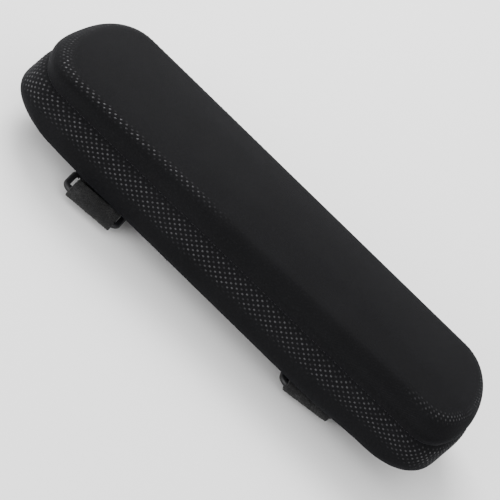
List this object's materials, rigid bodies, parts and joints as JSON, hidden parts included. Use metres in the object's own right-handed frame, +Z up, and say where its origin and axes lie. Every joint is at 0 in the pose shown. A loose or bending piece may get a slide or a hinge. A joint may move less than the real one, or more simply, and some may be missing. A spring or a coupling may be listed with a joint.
{
  "type": "chair armrest pad",
  "caption": "Elongated memory-foam armrest cushion with a zipped mesh cover and hook-and-loop straps that close through moulded rings underneath.",
  "frame": {"origin": "centre of the pad's flat underside, in the plane where the cushion rests on the armrest", "axes": "+X along the pad towards the front of the armrest, +Y towards the side with the zip, +Z up"},
  "size_m": [0.2604, 0.0988, 0.0448],
  "materials": {
    "cover_mesh": "knitted mesh",
    "grip_base": "matte knit",
    "foam": "open-cell foam",
    "thread": "twisted thread",
    "loop_webbing": "napped loop",
    "webbing": "flat weave",
    "hook_tape": "fine hooks",
    "ring_plastic": "satin moulded",
    "zip_tape": "herringbone weave",
    "zip_coil": "nylon coil",
    "zip_metal": "black enamelled"
  },
  "bodies": {
    "pad": {"foam_core": "foam", "cover_top_panel": "cover_mesh", "cover_side_band": "cover_mesh", "cover_bottom_panel": "grip_base", "top_seam_thread": "thread", "bottom_seam_thread": "thread", "zip_tape_upper": "zip_tape", "zip_tape_lower": "zip_tape", "zip_coil_upper": "zip_coil", "zip_coil_lower": "zip_coil", "zip_stop_front": "zip_metal", "zip_stop_rear": "zip_metal", "rear_ring_tab": "webbing", "rear_strap_web": "loop_webbing", "rear_tab_stitching": "thread", "rear_root_stitching": "thread", "front_ring_tab": "webbing", "front_strap_web": "loop_webbing", "front_tab_stitching": "thread", "front_root_stitching": "thread"},
    "rear_ring_body": {"rear_ring": "ring_plastic", "rear_strap_fold": "loop_webbing"},
    "rear_tail_body": {"rear_strap_tail": "loop_webbing", "rear_hook_patch": "hook_tape"},
    "front_ring_body": {"front_ring": "ring_plastic", "front_strap_fold": "loop_webbing"},
    "front_tail_body": {"front_strap_tail": "loop_webbing", "front_hook_patch": "hook_tape"},
    "zip_slider_body": {"zip_slider": "zip_metal"},
    "zip_pull_body": {"zip_pull": "zip_metal"}
  },
  "joints": [
    {"name": "rear_ring_hinge", "type": "hinge", "parent": "pad", "child": "rear_ring_body", "pos_m": [-0.0647, -0.0318, -0.00272], "axis": [0.9925, 0.1219, 0], "range_deg": [0, 90]},
    {"name": "rear_tail_hinge", "type": "hinge", "parent": "pad", "child": "rear_tail_body", "pos_m": [-0.06555, -0.02485, -0.00485], "axis": [-0.9925, -0.1219, 0], "range_deg": [0, 100]},
    {"name": "front_ring_hinge", "type": "hinge", "parent": "pad", "child": "front_ring_body", "pos_m": [0.0627, -0.0216, -0.00272], "axis": [0.9763, 0.2164, 0], "range_deg": [0, 90]},
    {"name": "front_tail_hinge", "type": "hinge", "parent": "pad", "child": "front_tail_body", "pos_m": [0.06119, -0.01477, -0.00485], "axis": [-0.9763, -0.2164, 0], "range_deg": [0, 100]},
    {"name": "zip_slide", "type": "slide", "parent": "pad", "child": "zip_slider_body", "axis": [-1, 0, 0], "range_m": [0, 0.155]},
    {"name": "zip_pull_hinge", "type": "hinge", "parent": "zip_slider_body", "child": "zip_pull_body", "pos_m": [0.0795, 0.0472, 0.0107], "axis": [0, 0, -1], "range_deg": [0, 170]}
  ]
}
